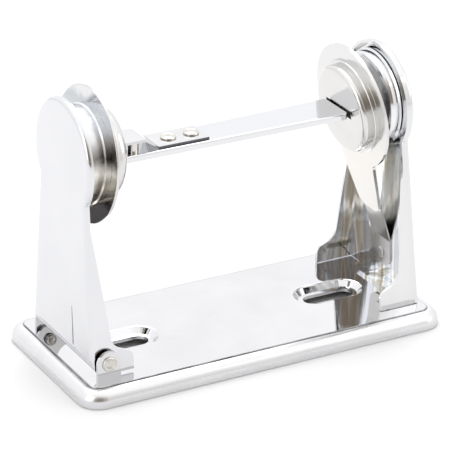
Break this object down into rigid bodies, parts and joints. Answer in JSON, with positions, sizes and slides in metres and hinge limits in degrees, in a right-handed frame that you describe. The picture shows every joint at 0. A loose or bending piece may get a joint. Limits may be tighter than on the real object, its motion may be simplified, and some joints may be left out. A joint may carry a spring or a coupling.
{
  "type": "locking wall-mounted single-roll holder",
  "caption": "Plated pressed-steel wall holder for one roll: flat base, fixed arm with press lever, hinged arm carrying a flat bar.",
  "frame": {"origin": "centre of the wall plate's footprint, on the wall plane", "axes": "+X along the plate towards the fixed arm, -Y towards the front, +Z away from the wall"},
  "size_m": [0.1524, 0.0698, 0.1091],
  "materials": {
    "plated_steel": "polished",
    "plated_bar": "polished",
    "spring_steel": "satin",
    "rivet_metal": "satin"
  },
  "bodies": {
    "base": {"base_plate": "plated_steel", "right_arm": "plated_steel", "hinge_pins": "rivet_metal", "right_drum": "plated_steel", "leaf_rivet": "rivet_metal", "return_leaf": "spring_steel"},
    "swing_arm": {"left_arm": "plated_steel", "left_drum": "plated_steel", "left_disc": "plated_steel", "left_core_cup": "plated_steel", "spindle_bar": "plated_bar", "bar_bracket": "plated_steel", "bar_rivets": "rivet_metal", "bar_spacer": "rivet_metal"},
    "release_lever": {"lever_plate": "plated_steel", "right_core_cup": "plated_steel"}
  },
  "joints": [
    {"name": "arm_swing", "type": "hinge", "parent": "base", "child": "swing_arm", "pos_m": [-0.063, 0, 0.0126], "axis": [0, -1, 0], "range_deg": [0, 75]},
    {"name": "lever_press", "type": "hinge", "parent": "base", "child": "release_lever", "pos_m": [0.0682, 0, 0.0228], "axis": [0, 1, 0], "range_deg": [0, 3], "stiffness_Nm_per_rad": 1.2, "deforming": ["return_leaf"]}
  ]
}
